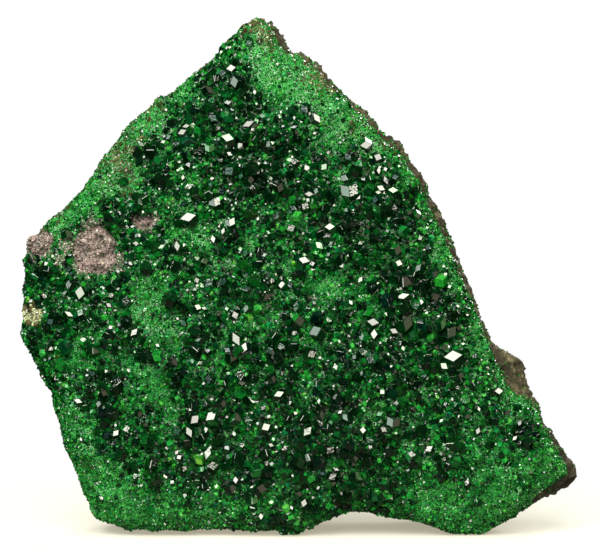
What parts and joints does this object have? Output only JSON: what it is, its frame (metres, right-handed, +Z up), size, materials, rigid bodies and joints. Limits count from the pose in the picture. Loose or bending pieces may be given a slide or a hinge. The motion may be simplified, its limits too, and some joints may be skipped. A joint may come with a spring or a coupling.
{
  "type": "uvarovite garnet specimen",
  "caption": "Slab of dark chromite rock standing on its broken lower edge, its front face covered by a sparkling crust of green garnet dodecahedra with pinkish chlorite patches.",
  "frame": {"origin": "under the middle of the whole specimen, on the level surface that its two feet stand on", "axes": "+Z up, +X to the viewer's right when facing the crystals, +Y back through the slab; the crystal face looks along -Y"},
  "size_m": [0.0724, 0.0216, 0.0674],
  "materials": {
    "chromite": "matte",
    "uvarovite": "gloss",
    "chlorite": "matte"
  },
  "bodies": {
    "root": {"chromite_matrix": "chromite", "uvarovite_crust": "uvarovite", "pink_chlorite_large": "chlorite", "pink_chlorite_small": "chlorite", "pink_chlorite_corner": "chlorite"}
  },
  "joints": []
}
